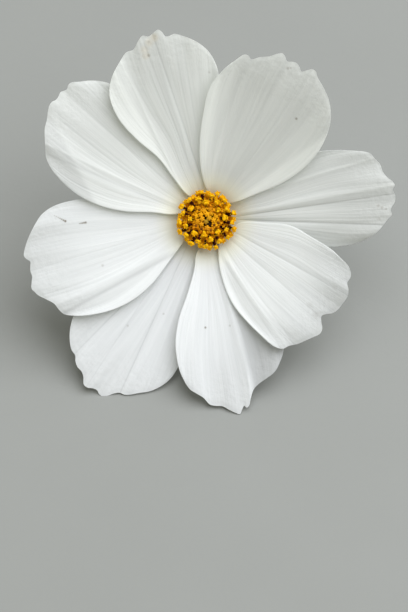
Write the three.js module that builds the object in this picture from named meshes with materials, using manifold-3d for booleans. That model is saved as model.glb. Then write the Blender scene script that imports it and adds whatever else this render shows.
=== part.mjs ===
// A white garden cosmos (Cosmos bipinnatus), picked with a short stem and laid down.
// Eight ray florets spread round a golden disc of tubular florets. Behind them are the
// receptacle, eight papery inner bracts, eight green outer bracts and the cut stem.
// The flower leans face up on the tips of two lower petals and on its stem.
// Units are millimetres. The head is modelled in its own frame, with +Z along its axis,
// out of the face, and is then tilted. The part's origin is on the surface it lies on.
import * as THREE from "three";
import { mergeVertices } from "three/addons/utils/BufferGeometryUtils.js";
import Module from "manifold-3d";

const wasm = await Module();
wasm.setup();

// Driving dimensions
const TILT = THREE.MathUtils.degToRad(40); // the flower's axis leans this far from upright
const PETAL_THICKNESS = 0.4;
const CLAW_RADIUS = 4.45; // where the ray florets leave the receptacle
const CLAW_HALF_WIDTH = 1.25;
const CUP = { root: -1.9, step: 2.2, reach: 2.2, slope: 0.22 }; // the height that the petals share
const LIFT_SPAN = [4.4, 6.8]; // the petals' edges rise or sink over this stretch
const SEAT_SPAN = [4.3, 5.8]; // and here each takes its own height in the overlap
const RISE_SPAN = [6, 34]; // where a petal's own rise starts, and how long it takes
const BEND_SPAN = [7, 36]; // how far out the two ends of a bend are given
const BEND_FADE = [5, 14]; // bends grow to their full slope over this stretch
const DISC = { florets: 54, open: 33, radius: 4.3, height: 3.7, dome: 0.8, turned: -106.2 };
// Florets of each kind: how wide they stand on the receptacle, how far out they lean past
// the mouth, and how far they reach up past it.
const OPEN = { root: 3.75, lean: 2.2, reach: 1.45, droop: 0.65 };
const BUDS = { root: 3.3, lean: 0, reach: 0.75, droop: 0 };
const LEAN_SPAN = [0.45, 0.95]; // the lean grows over these shares of the disc's radius
const RECEPTACLE_APEX = -0.9; // highest point of the dome under the disc florets
const BRACTS_TURNED = 0.2; // radians
// The stem's top on the flower's axis, its end on the surface, and how long it goes on
// straight at each of the two before it bends.
const STEM = { top: -8.3, neckRadius: 1.55, radius: 1.1, reach: 56, drift: 10, down: 17, level: 24 };
const STEM_LIES_ALONG = new THREE.Vector3(0.28, 0.96, 0);
const GOLDEN_ANGLE = Math.PI * (3 - Math.sqrt(5));

const MATERIALS = {
  petal: { color: 0xf2f3f0, roughness: 0.6 },
  disc: { color: 0xf2a900, roughness: 0.7 },
  bud: { color: 0xd99a1a, roughness: 0.7 },
  innerBract: { color: 0xa8a45a, roughness: 0.65 },
  outerBract: { color: 0x5f8f35, roughness: 0.6 },
  stem: { color: 0x6d9a3f, roughness: 0.55 },
};

const node = (name, geometry, material) => {
  const mesh = new THREE.Mesh(geometry, new THREE.MeshStandardMaterial(MATERIALS[material]));
  mesh.name = name;
  return mesh;
};

// --- Sheets: petals and bracts ------------------------------------------------------

// A thin closed solid on both sides of a surface. pointAt(s, t) gives the surface, s from
// the left edge to the right one and t from the root to the tip.
function sheetSolid(pointAt, across, along, thickness) {
  const positions = [];
  const index = [];
  for (const offset of [thickness / 2, -thickness / 2]) {
    for (let j = 0; j <= along; j++) {
      for (let i = 0; i <= across; i++) {
        const p = pointAt(i / across, j / along);
        positions.push(p.x, p.y, p.z + offset);
      }
    }
  }
  const under = (across + 1) * (along + 1);
  const at = (i, j) => j * (across + 1) + i;
  const quad = (a, b, c, d) => index.push(a, b, c, a, c, d);
  for (let j = 0; j < along; j++) {
    for (let i = 0; i < across; i++) {
      quad(at(i, j), at(i + 1, j), at(i + 1, j + 1), at(i, j + 1));
      quad(under + at(i, j), under + at(i, j + 1), under + at(i + 1, j + 1), under + at(i + 1, j));
    }
  }
  for (let i = 0; i < across; i++) {
    quad(at(i, 0), under + at(i, 0), under + at(i + 1, 0), at(i + 1, 0));
    quad(at(i + 1, along), under + at(i + 1, along), under + at(i, along), at(i, along));
  }
  for (let j = 0; j < along; j++) {
    quad(at(0, j + 1), under + at(0, j + 1), under + at(0, j), at(0, j));
    quad(at(across, j), under + at(across, j), under + at(across, j + 1), at(across, j + 1));
  }
  const geometry = new THREE.BufferGeometry();
  geometry.setAttribute("position", new THREE.Float32BufferAttribute(positions, 3));
  geometry.setIndex(index);
  geometry.computeVertexNormals();
  return geometry;
}

const smoothstep = THREE.MathUtils.smoothstep;

// --- Ray florets --------------------------------------------------------------------

// Each petal's outline as seen along the flower's axis: its half-widths to the left and
// right of its own axis at these distances from the disc's centre, and then its toothed
// tip, from left to right, as [across, along].
// seat is its height in the overlap, rise how far its tip lifts, edges how far the left
// and right margins lift, and droop is where its end starts to sink and how far that takes
// it in 10 mm. bends are lines that it bends along: [across near the root, across near the
// tip, slope left of the line, slope right of it]. folds are the pleats: [place from -1
// to 1, height, width].
const STATIONS = [6.5, 10, 15, 20, 25, 30];
const PETALS = [
  {
    azimuth: 103, seat: 0.35, rise: 1.2, edges: [0.7, -1.2], droop: [30, 0.3],
    bends: [[-3.5, -10, 0.2, 0]],
    folds: [[-0.47, -0.22, 0.14], [0.14, -0.2, 0.1], [0.55, 0.1, 0.14]],
    left: [3.0, 4.7, 6.9, 10.6, 13.3, 14.1],
    right: [2.2, 3.0, 5.2, 7.1, 8.6, 9.5],
    tip: [
      [-12.9, 33.6], [-10.2, 36.9], [-8.5, 38.4], [-7.0, 38.6], [-5.6, 40.1], [-4.5, 41.0],
      [-3.2, 40.6], [-2.0, 41.1], [-1.0, 41.5], [-0.3, 41.0], [0.3, 39.8], [1.0, 39.7],
      [2.2, 39.9], [4.2, 38.9], [6.5, 37.2], [8.2, 35.2], [9.2, 32.8],
    ],
  },
  {
    azimuth: 62, seat: 1.0, rise: 4.2, edges: [0.2, 0], droop: [31, 1.6],
    bends: [[-3.2, -10, 0.12, 0], [3.1, 13.5, 0, -0.12]],
    folds: [[-0.8, 0.15, 0.12], [-0.2, -0.1, 0.12], [0.2, 0.1, 0.12], [0.66, -0.18, 0.14]],
    left: [3.9, 6.8, 9.5, 11.3, 12.5, 11.6],
    right: [3.9, 6.9, 10.9, 13.3, 14.3, 13.7],
    tip: [
      [-10.4, 32.7], [-9.3, 34.6], [-8.4, 34.8], [-7.6, 34.4], [-6.2, 35.6], [-4.4, 36.8],
      [-3.2, 38.0], [-2.3, 38.6], [-1.5, 38.3], [-0.6, 37.6], [0.4, 38.0], [1.3, 38.2],
      [2.3, 37.7], [3.0, 37.1], [4.0, 37.9], [4.9, 38.6], [5.7, 38.5], [6.7, 37.6],
      [8.6, 36.4], [10.8, 34.7], [12.5, 32.6],
    ],
  },
  {
    azimuth: 6, seat: -0.6, rise: -0.3, edges: [-0.4, -0.8], droop: [30, 0.3],
    bends: [[4.5, 2.5, 0, -0.16]],
    folds: [[-0.6, 0.1, 0.14], [-0.05, 0.14, 0.12], [0.16, -0.14, 0.1], [0.6, 0.1, 0.12]],
    left: [4.2, 5.4, 8.4, 11.0, 12.0, 11.7],
    right: [2.4, 3.3, 5.0, 7.0, 8.4, 8.4],
    tip: [
      [-11.2, 33.4], [-10.5, 35.9], [-9.2, 36.9], [-7.9, 37.9], [-6.3, 38.3], [-5.0, 39.1],
      [-4.0, 40.1], [-3.2, 40.5], [-2.2, 40.0], [-1.0, 40.4], [0.4, 40.2], [1.3, 39.5],
      [2.1, 39.1], [3.0, 39.3], [3.8, 38.4], [5.4, 36.9], [6.9, 35.0], [7.9, 32.6],
    ],
  },
  {
    azimuth: -37, seat: 0.8, rise: 7.5, edges: [0.1, 0.3], droop: [23, 5],
    bends: [[2.8, 14, 0, -0.16]],
    folds: [[-0.5, -0.08, 0.12], [-0.15, -0.05, 0.12], [0.05, -0.1, 0.12], [0.8, -0.3, 0.12]],
    left: [4.4, 6.9, 9.8, 10.5, 10.9],
    right: [4.4, 7.8, 10.8, 12.1, 12.7],
    tip: [
      [-10.6, 28.0], [-10.2, 30.1], [-9.3, 31.4], [-8.4, 31.8], [-7.3, 31.9], [-6.3, 33.0],
      [-5.0, 33.7], [-3.2, 33.8], [-1.2, 33.7], [-0.2, 33.2], [0.7, 32.3], [1.6, 31.8],
      [2.6, 32.5], [3.6, 33.5], [4.8, 33.8], [6.2, 33.1], [8.0, 32.1], [9.4, 31.3],
      [10.8, 30.1], [12.1, 29.4], [12.8, 27.6],
    ],
  },
  {
    azimuth: -81, seat: 0.0, rise: 2.0, edges: [-0.9, 0.7], droop: [28, 0.9],
    bends: [[-0.8, -3.6, 0.05, 0]],
    folds: [[-0.27, 0.3, 0.12], [0.25, -0.1, 0.12], [0.62, 0.12, 0.12]],
    left: [2.4, 3.6, 7.0, 10.0, 12.0, 11.8],
    right: [3.1, 4.2, 6.5, 9.1, 10.6, 10.7],
    tip: [
      [-10.6, 32.4], [-9.3, 34.1], [-7.4, 35.2], [-5.6, 36.1], [-4.3, 37.1], [-3.4, 38.8],
      [-2.8, 40.3], [-2.2, 40.7], [-1.8, 40.2], [-1.2, 40.9], [-0.6, 41.8], [0.3, 41.4],
      [1.6, 40.5], [2.8, 39.6], [4.2, 39.3], [5.4, 38.8], [6.5, 37.2], [7.8, 36.1],
      [9.1, 34.9], [10.1, 32.6],
    ],
  },
  {
    azimuth: -119, seat: -0.95, rise: -1.0, edges: [-0.5, -0.7], droop: [30, 0.4],
    bends: [],
    folds: [[-0.3, -0.12, 0.12], [0.1, 0.14, 0.12], [0.35, -0.16, 0.12], [0.62, -0.12, 0.12]],
    left: [2.6, 3.5, 5.6, 7.6, 9.2, 9.9],
    right: [2.8, 4.2, 6.9, 10.0, 12.9, 14.8],
    tip: [
      [-9.7, 33.0], [-8.8, 35.4], [-7.2, 37.6], [-5.2, 39.2], [-4.0, 40.2], [-2.8, 40.9],
      [-1.6, 41.1], [-0.6, 41.9], [0.3, 42.9], [1.2, 43.5], [2.0, 43.4], [2.8, 42.9],
      [3.8, 43.0], [4.8, 43.4], [5.8, 43.2], [6.7, 41.8], [7.6, 41.0], [8.8, 40.6],
      [9.8, 39.7], [10.4, 38.7], [11.7, 38.0], [13.2, 36.1], [14.4, 33.4],
    ],
  },
  {
    azimuth: -162, seat: -0.3, rise: 0.2, edges: [0.9, -0.5], droop: [27, 1.1],
    bends: [[-3.4, -7.2, -0.06, 0]],
    folds: [[-0.75, -0.22, 0.12], [-0.5, 0.14, 0.12], [-0.1, -0.1, 0.12], [0.35, -0.12, 0.12]],
    left: [3.2, 5.7, 9.2, 11.3, 12.0, 11.5],
    right: [4.2, 5.6, 8.6, 11.1, 12.6, 12.8],
    tip: [
      [-10.7, 32.9], [-9.7, 34.9], [-8.4, 35.7], [-7.0, 36.2], [-5.5, 37.6], [-4.2, 38.9],
      [-3.3, 39.4], [-2.4, 39.8], [-1.2, 39.4], [0.0, 38.9], [1.2, 38.9], [2.2, 38.6],
      [3.1, 38.3], [3.9, 38.9], [4.7, 39.2], [6.2, 38.5], [8.4, 36.8], [10.4, 34.8],
      [11.9, 32.9],
    ],
  },
  {
    azimuth: 143, seat: -0.05, rise: 0.8, edges: [1, -0.8], droop: [28, 0.7],
    bends: [[-1.2, -7.4, -0.05, 0]],
    folds: [[-0.54, 0.2, 0.1], [-0.2, -0.1, 0.12], [0.3, -0.16, 0.16]],
    left: [3.4, 5.5, 9.0, 11.2, 12.2, 11.9],
    right: [2.6, 3.8, 7.0, 9.6, 11.2, 11.6],
    tip: [
      [-11.2, 32.6], [-9.9, 35.1], [-8.4, 36.4], [-6.9, 37.7], [-5.2, 39.0], [-3.4, 39.8],
      [-1.8, 40.7], [-0.6, 41.2], [0.3, 41.2], [1.1, 40.8], [2.0, 40.8], [3.0, 41.0],
      [3.8, 40.5], [4.4, 40.3], [5.2, 40.6], [6.0, 40.4], [7.2, 39.1], [8.8, 37.4],
      [10.2, 35.2], [11.0, 33.0],
    ],
  },
];

// A stretch of a curve between two of its control points, by its own length from 0 to 1.
function stretchOf(curve, from, to) {
  const steps = 160;
  const last = curve.points.length - 1;
  const points = [];
  for (let i = 0; i <= steps; i++) {
    points.push(curve.getPoint((from + ((to - from) * i) / steps) / last));
  }
  const lengths = [0];
  for (let i = 1; i <= steps; i++) lengths.push(lengths[i - 1] + points[i].distanceTo(points[i - 1]));
  return (share) => {
    const wanted = share * lengths[steps];
    let i = 1;
    while (i < steps && lengths[i] < wanted) i++;
    const part = (wanted - lengths[i - 1]) / (lengths[i] - lengths[i - 1]);
    return points[i - 1].clone().lerp(points[i], part);
  };
}

// The petal's outline as four edges: left and right from root to shoulder, root and tip
// from left to right.
function edgesOf(petal) {
  const point = (x, y) => new THREE.Vector3(x, y, 0);
  const left = petal.left.map((w, k) => point(-w, STATIONS[k]));
  const right = petal.right.map((w, k) => point(w, STATIONS[k])).reverse();
  const tip = petal.tip.map(([x, y]) => point(x, y));
  const claw = [point(-CLAW_HALF_WIDTH, CLAW_RADIUS), point(CLAW_HALF_WIDTH, CLAW_RADIUS)];
  const rim = new THREE.CatmullRomCurve3([claw[0], ...left, ...tip, ...right, claw[1]]);
  const leftShoulder = left.length;
  const rightShoulder = left.length + tip.length + 1;
  return {
    left: stretchOf(rim, 0, leftShoulder),
    tip: stretchOf(rim, leftShoulder, rightShoulder),
    right: stretchOf(rim, rim.points.length - 1, rightShoulder),
    root: (share) => claw[0].clone().lerp(claw[1], share),
  };
}

// Height of a petal at a point of its plan, which is at a place across it from -1 to 1 and
// a share t of the way to its tip.
function petalHeight(petal, point, place, t) {
  const radius = Math.hypot(point.x, point.y);
  const out = Math.max(0, radius - CLAW_RADIUS);
  const cup = CUP.root + CUP.step * (1 - Math.exp(-out / CUP.reach)) + CUP.slope * out;
  const rise = petal.rise * Math.max(0, (radius - RISE_SPAN[0]) / RISE_SPAN[1]) ** 2;
  const edge = petal.edges[place < 0 ? 0 : 1] * place * place * smoothstep(radius, ...LIFT_SPAN);
  const pleats = petal.folds.reduce(
    (sum, [at, height, width]) => sum + height * Math.exp(-(((place - at) / width) ** 2)), 0);
  const seat = petal.seat * smoothstep(radius, ...SEAT_SPAN);
  const bent = petal.bends.reduce((sum, [nearRoot, nearTip, leftSlope, rightSlope]) => {
    const aside = point.x - THREE.MathUtils.mapLinear(point.y, ...BEND_SPAN, nearRoot, nearTip);
    return sum + (aside < 0 ? -leftSlope : rightSlope) * aside;
  }, 0);
  const sunk = petal.droop[1] * (Math.max(0, point.y - petal.droop[0]) / 10) ** 2;
  const grown = smoothstep(radius, ...BEND_FADE);
  return cup + seat + rise + edge + pleats * smoothstep(t, 0.1, 0.5) + bent * grown - sunk;
}

function rayFloret(petal, number) {
  const edges = edgesOf(petal);
  const corners = [edges.root(0), edges.root(1), edges.tip(0), edges.tip(1)];
  const pointAt = (s, t) => {
    const p = edges.left(t).multiplyScalar(1 - s)
      .addScaledVector(edges.right(t), s)
      .addScaledVector(edges.root(s), 1 - t)
      .addScaledVector(edges.tip(s), t)
      .addScaledVector(corners[0], -(1 - s) * (1 - t))
      .addScaledVector(corners[1], -s * (1 - t))
      .addScaledVector(corners[2], -(1 - s) * t)
      .addScaledVector(corners[3], -s * t);
    p.z = petalHeight(petal, p, 2 * s - 1, t);
    return p;
  };
  const mesh = node(`ray_floret_${number}`, sheetSolid(pointAt, 26, 11, PETAL_THICKNESS), "petal");
  mesh.rotation.z = THREE.MathUtils.degToRad(petal.azimuth) - Math.PI / 2;
  return mesh;
}

// --- Disc florets -------------------------------------------------------------------

// A turned solid whose axis follows a curve. The profile holds [radius, share of the curve].
function turnedAlong(curve, profile, sides) {
  const points = profile.map(([radius, share]) => new THREE.Vector2(radius, share));
  const geometry = new THREE.LatheGeometry(points, sides);
  const position = geometry.attributes.position;
  const forward = new THREE.Vector3();
  const sideways = new THREE.Vector3();
  const outward = new THREE.Vector3();
  for (let i = 0; i < position.count; i++) {
    const share = position.getY(i);
    const centre = curve.getPoint(share);
    curve.getTangent(share, forward);
    sideways.set(forward.z, 0, -forward.x);
    if (sideways.lengthSq() < 1e-6) sideways.set(1, 0, 0);
    sideways.normalize();
    outward.crossVectors(sideways, forward);
    centre.addScaledVector(sideways, position.getX(i)).addScaledVector(outward, position.getZ(i));
    position.setXYZ(i, centre.x, centre.y, centre.z);
  }
  geometry.computeVertexNormals();
  return geometry;
}

// Where a disc floret stands, in the spiral of the disc: from its root on the receptacle's
// dome, leaning out to its mouth, and on to its tip.
function floretAxis(k, kind) {
  const share = Math.sqrt((k + 0.5) / DISC.florets);
  const turn = k * GOLDEN_ANGLE + THREE.MathUtils.degToRad(DISC.turned);
  const place = (radius, height) =>
    new THREE.Vector3(radius * Math.cos(turn), radius * Math.sin(turn), height);
  const root = place(kind.root * share, RECEPTACLE_APEX + 0.2 - 0.5 * share ** 2);
  const mouth = place(DISC.radius * share, DISC.height - DISC.dome * share ** 2);
  const out = DISC.radius * share + kind.lean * smoothstep(share, ...LEAN_SPAN);
  const tip = place(out, mouth.z + kind.reach - kind.droop * share ** 2);
  return new THREE.CatmullRomCurve3([root, mouth, tip]);
}

// Ovary, tube, star of lobes, anther column and stigma.
const OPEN_FLORET = [
  [0, 0], [0.33, 0.02], [0.27, 0.32], [0.5, 0.62], [0.27, 0.74], [0.27, 0.88], [0.4, 0.95], [0, 1],
];
const CLOSED_BUD = [[0, 0], [0.3, 0.02], [0.3, 0.4], [0.52, 0.8], [0.36, 0.95], [0, 1]];

const openFlorets = () =>
  Array.from({ length: DISC.open }, (_, i) => {
    const k = DISC.florets - DISC.open + i;
    const name = `disc_floret_${String(i + 1).padStart(2, "0")}`;
    return node(name, turnedAlong(floretAxis(k, OPEN), OPEN_FLORET, 6), "disc");
  });

function solidOf(geometry) {
  const bare = geometry.clone();
  bare.deleteAttribute("normal");
  bare.deleteAttribute("uv");
  const merged = mergeVertices(bare, 1e-4);
  return new wasm.Manifold(new wasm.Mesh({
    numProp: 3,
    vertProperties: merged.attributes.position.array,
    triVerts: new Uint32Array(merged.index.array),
  }));
}

function geometryOf(solid) {
  const mesh = solid.getMesh();
  const geometry = new THREE.BufferGeometry();
  geometry.setAttribute("position", new THREE.BufferAttribute(mesh.vertProperties, 3));
  geometry.setIndex(new THREE.BufferAttribute(mesh.triVerts, 1));
  geometry.computeVertexNormals();
  return geometry;
}

// The closed buds in the middle, grown together at their feet.
function centralBuds() {
  const foot = [[0, 0], [1.85, 0], [1.9, 0.5], [0, 1]];
  const axis = new THREE.LineCurve3(
    new THREE.Vector3(0, 0, RECEPTACLE_APEX + 0.2), new THREE.Vector3(0, 0, RECEPTACLE_APEX + 1.2));
  let joined = solidOf(turnedAlong(axis, foot, 24));
  for (let k = 0; k < DISC.florets - DISC.open; k++) {
    joined = joined.add(solidOf(turnedAlong(floretAxis(k, BUDS), CLOSED_BUD, 6)));
  }
  return node("central_buds", geometryOf(joined), "bud");
}

// --- Receptacle, bracts and stem ----------------------------------------------------

function receptacle() {
  const profile = [
    [0, STEM.top + 0.3], [STEM.neckRadius, STEM.top + 0.3], [2.3, -6.9], [3.3, -5.7], [3.9, -4.3],
    [4.15, -3.2], [4.1, -2.2], [3.7, -1.75], [2.2, RECEPTACLE_APEX - 0.25], [0, RECEPTACLE_APEX],
  ];
  const geometry = new THREE.LatheGeometry(profile.map(([r, z]) => new THREE.Vector2(r, z)), 20);
  geometry.rotateX(Math.PI / 2);
  return node("receptacle", geometry, "outerBract");
}

// A bract: its root and tip, as [radius, height], how far it bows, its half-width and how
// far its edges curl up.
function bract(name, azimuth, shape, material) {
  const pointAt = (s, t) => {
    const halfWidth = shape.halfWidth * Math.sin(Math.PI * (0.2 + 0.78 * t)) ** 0.8;
    const x = (2 * s - 1) * halfWidth;
    const y = THREE.MathUtils.lerp(shape.root[0], shape.tip[0], t);
    const straight = THREE.MathUtils.lerp(shape.root[1], shape.tip[1], t);
    const bow = shape.bow * Math.sin(Math.PI * t);
    return new THREE.Vector3(x, y, straight + bow + shape.curl * (2 * s - 1) ** 2);
  };
  const mesh = node(name, sheetSolid(pointAt, 4, 7, shape.thickness), material);
  mesh.rotation.z = azimuth - Math.PI / 2;
  return mesh;
}

const bracts = () =>
  PETALS.flatMap((_, i) => {
    const turn = (i * 2 * Math.PI) / PETALS.length + BRACTS_TURNED;
    const sway = Math.sin(i * 2.4); // no two bracts spread quite alike
    return [
      bract(`inner_bract_${i + 1}`, turn, {
        root: [4.5, -3.2],
        tip: [11.2 + 0.6 * sway, -1.0],
        bow: -1.0, halfWidth: 2.35, curl: 0.5, thickness: 0.35,
      }, "innerBract"),
      bract(`outer_bract_${i + 1}`, turn + Math.PI / PETALS.length, {
        root: [4.0, -5.6],
        tip: [14.6 + 1.4 * sway, -6.6 + 1.6 * sway],
        bow: -0.8, halfWidth: 1.35, curl: 0.3, thickness: 0.4,
      }, "outerBract"),
    ];
  });

// The stem leaves the head along its axis, bends down to the surface and lies along it.
function stem(head) {
  const top = new THREE.Vector3(0, 0, STEM.top).applyEuler(head.rotation).add(head.position);
  const away = new THREE.Vector3(0, 0, -1).applyEuler(head.rotation);
  const end = new THREE.Vector3(STEM.drift, head.position.y + STEM.reach, STEM.radius);
  const bendStart = top.clone().addScaledVector(away, STEM.down);
  const bendEnd = end.clone().addScaledVector(STEM_LIES_ALONG, -STEM.level);
  const curve = new THREE.CubicBezierCurve3(top, bendStart, bendEnd, end);
  const profile = [
    [0, 0], [STEM.neckRadius, 0], [1.3, 0.05], [STEM.radius, 0.13],
    ...Array.from({ length: 16 }, (_, i) => [STEM.radius, 0.18 + (0.82 * i) / 15]), [0, 1],
  ];
  return node("stem", turnedAlong(curve, profile, 10), "stem");
}

// --- The flower, lying on the surface -----------------------------------------------

const head = new THREE.Group();
head.add(...PETALS.map((petal, i) => rayFloret(petal, i + 1)));
head.add(...openFlorets(), centralBuds(), receptacle(), ...bracts());
head.rotation.x = TILT;
head.updateMatrixWorld(true);
head.position.z = -new THREE.Box3().setFromObject(head, true).min.z;

const flower = new THREE.Group();
flower.add(head, stem(head));
const box = new THREE.Box3().setFromObject(flower, true);
flower.position.set(-(box.min.x + box.max.x) / 2, -(box.min.y + box.max.y) / 2, 0);

const part = new THREE.Group();
part.add(flower);

export default part;
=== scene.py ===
"""A white garden cosmos lying face up on a pale studio floor.

The head is built in its own frame, in millimetres, with +Z out of the face. place()
tilts it and moves it to where the CAD model has it, and Shape.piece() turns it to metres.
"""
import math
import random

import bpy
import numpy as np
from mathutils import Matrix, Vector


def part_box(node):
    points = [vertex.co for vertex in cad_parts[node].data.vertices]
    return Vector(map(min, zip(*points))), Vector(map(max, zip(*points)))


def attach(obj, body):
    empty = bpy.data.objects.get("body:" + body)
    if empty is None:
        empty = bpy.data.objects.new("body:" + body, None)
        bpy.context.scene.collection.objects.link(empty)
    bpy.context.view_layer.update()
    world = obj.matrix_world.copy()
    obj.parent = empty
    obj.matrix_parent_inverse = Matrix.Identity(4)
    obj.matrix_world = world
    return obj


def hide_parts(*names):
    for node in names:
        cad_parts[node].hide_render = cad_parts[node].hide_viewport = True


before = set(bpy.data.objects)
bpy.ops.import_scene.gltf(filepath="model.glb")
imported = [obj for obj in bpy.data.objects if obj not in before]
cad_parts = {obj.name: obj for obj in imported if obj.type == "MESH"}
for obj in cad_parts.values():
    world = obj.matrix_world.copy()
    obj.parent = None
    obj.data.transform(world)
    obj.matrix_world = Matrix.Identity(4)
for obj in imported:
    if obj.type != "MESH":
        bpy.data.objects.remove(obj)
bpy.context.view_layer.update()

MM = 0.001
TILT = math.radians(40)
GOLDEN_ANGLE = math.pi * (3 - math.sqrt(5))

# Driving dimensions, as in the CAD model
CLAW_RADIUS = 4.45
CLAW_HALF_WIDTH = 1.25
CUP_ROOT = -1.9
CUP_STEP = 2.2
CUP_REACH = 2.2
CUP_SLOPE = 0.22
LIFT_SPAN = (4.4, 6.8)
SEAT_SPAN = (4.3, 5.8)
RISE_START = 6
RISE_LENGTH = 34
BEND_SPAN = (7, 36)
BEND_FADE = (5, 14)
FLORETS = 54
OPEN_FLORETS = 33
DISC_RADIUS = 4.3
DISC_HEIGHT = 3.7
DISC_DOME = 0.8
DISC_TURNED = math.radians(-106.2)
OPEN = dict(root=3.75, lean=2.2, reach=1.45, droop=0.65)
BUDS = dict(root=3.3, lean=0, reach=0.75, droop=0)
LEAN_SPAN = (0.45, 0.95)
BRACTS_TURNED = 0.2
RECEPTACLE_APEX = -0.9
STEM_TOP = -8.3
STEM_RADIUS = 1.1
NECK_RADIUS = 1.55
STEM_REACH = 56
STEM_DRIFT = 10
STEM_DOWN = 17
STEM_LEVEL = 24
STEM_LIES_ALONG = np.array([0.28, 0.96, 0.0])

# Only here
RIM = dict(root=3.75, lean=1.4, reach=0.9, droop=0.5)
RIM_FLORETS = 14  # open florets that the CAD model has no room for
LOBES = 5  # of a disc floret's mouth
MOUTH = 16  # steps of a floret's axis up to its mouth, and again to its tip
OPENING_BUDS = (11, 13, 16, 18, 19, 20)
# One bud stands lower and narrower and is painted near black all over
DARK_BUD = 3
DUSTED_SIDE = math.radians(62)  # where the most pollen has fallen
PETAL_SEED = 100
FLORET_SEED = 500
BUD_SEED = 900
RECEPTACLE_SHOULDER = -2.3  # green below, under the florets above
RECEPTACLE = (
    (NECK_RADIUS, STEM_TOP + 0.3), (1.75, -7.5), (2.3, -6.9), (2.9, -6.3), (3.3, -5.7),
    (3.65, -5.0), (3.9, -4.3), (4.1, -3.7), (4.15, -3.2), (4.15, -2.6), (4.1, -2.2),
    (3.7, -1.75), (3.0, -1.45), (2.2, RECEPTACLE_APEX - 0.25), (1.0, RECEPTACLE_APEX - 0.05),
)


def head_centre():
    """Where the head's own origin lies in the part, from the receptacle's box."""
    low, high = (np.array(corner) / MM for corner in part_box("receptacle"))
    nearest = min(-r * math.cos(TILT) - z * math.sin(TILT) for r, z in RECEPTACLE)
    lowest = min(-r * math.sin(TILT) + z * math.cos(TILT) for r, z in RECEPTACLE)
    return np.array([(low[0] + high[0]) / 2, low[1] - nearest, low[2] - lowest])


HEAD_CENTRE = head_centre()

STATIONS = [6.5, 10, 15, 20, 25, 30]
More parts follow.
